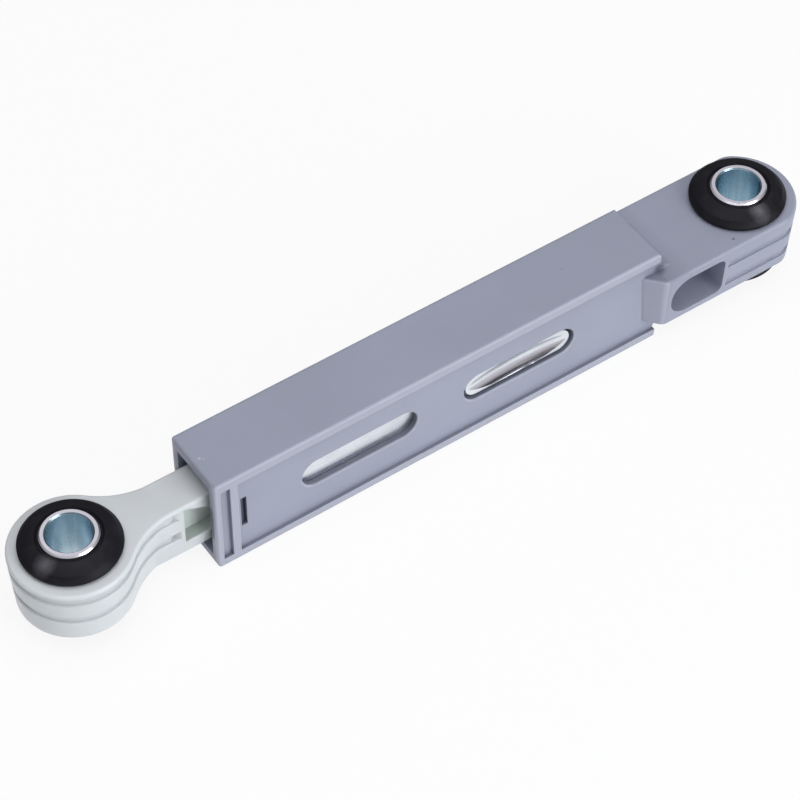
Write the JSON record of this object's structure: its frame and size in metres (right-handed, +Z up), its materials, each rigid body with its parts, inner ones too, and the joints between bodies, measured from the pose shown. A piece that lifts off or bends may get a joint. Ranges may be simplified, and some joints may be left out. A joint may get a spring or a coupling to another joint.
{
  "type": "washing machine shock absorber",
  "caption": "Friction damper for a washing machine tub: grey box housing with a ribbed eye, white sliding rod with a matching eye, rubber bushings and steel sleeves for the bolts.",
  "frame": {"origin": "centre of the bolt hole in the housing's eye, at half the eye's thickness", "axes": "+X from the rod's eye towards the housing's eye, +Z up along both bolt holes, with the housing's flat underside down"},
  "size_m": [0.2021, 0.0272, 0.0272],
  "materials": {
    "grey_plastic": "moulded satin grey polypropylene",
    "dark_plastic": "moulded dark grey acetal",
    "white_nylon": "moulded translucent natural nylon",
    "black_rubber": "moulded satin black rubber",
    "zinc_steel": "bright blue zinc plating",
    "sheet_steel": "bright galvanised sheet",
    "friction_foam": "greased open-cell foam"
  },
  "bodies": {
    "housing": {"housing": "grey_plastic", "steel_tube": "sheet_steel", "front_guide": "dark_plastic", "housing_bushing": "black_rubber"},
    "rod": {"rod": "white_nylon", "friction_pad_top": "friction_foam", "friction_pad_bottom": "friction_foam", "rod_bushing": "black_rubber"},
    "housing_sleeve": {"housing_sleeve": "zinc_steel"},
    "rod_sleeve": {"rod_sleeve": "zinc_steel"}
  },
  "joints": [
    {"name": "rod_slide", "type": "slide", "parent": "housing", "child": "rod", "axis": [-1, 0, 0], "range_m": [0, 0.08]},
    {"name": "housing_sleeve_twist", "type": "hinge", "parent": "housing", "child": "housing_sleeve", "pos_m": [0, 0, 0], "axis": [0, 0, 1], "range_deg": [-15, 15], "stiffness_Nm_per_rad": 2},
    {"name": "rod_sleeve_twist", "type": "hinge", "parent": "rod", "child": "rod_sleeve", "pos_m": [-0.175, 0, 0], "axis": [0, 0, 1], "range_deg": [-15, 15], "stiffness_Nm_per_rad": 2}
  ]
}
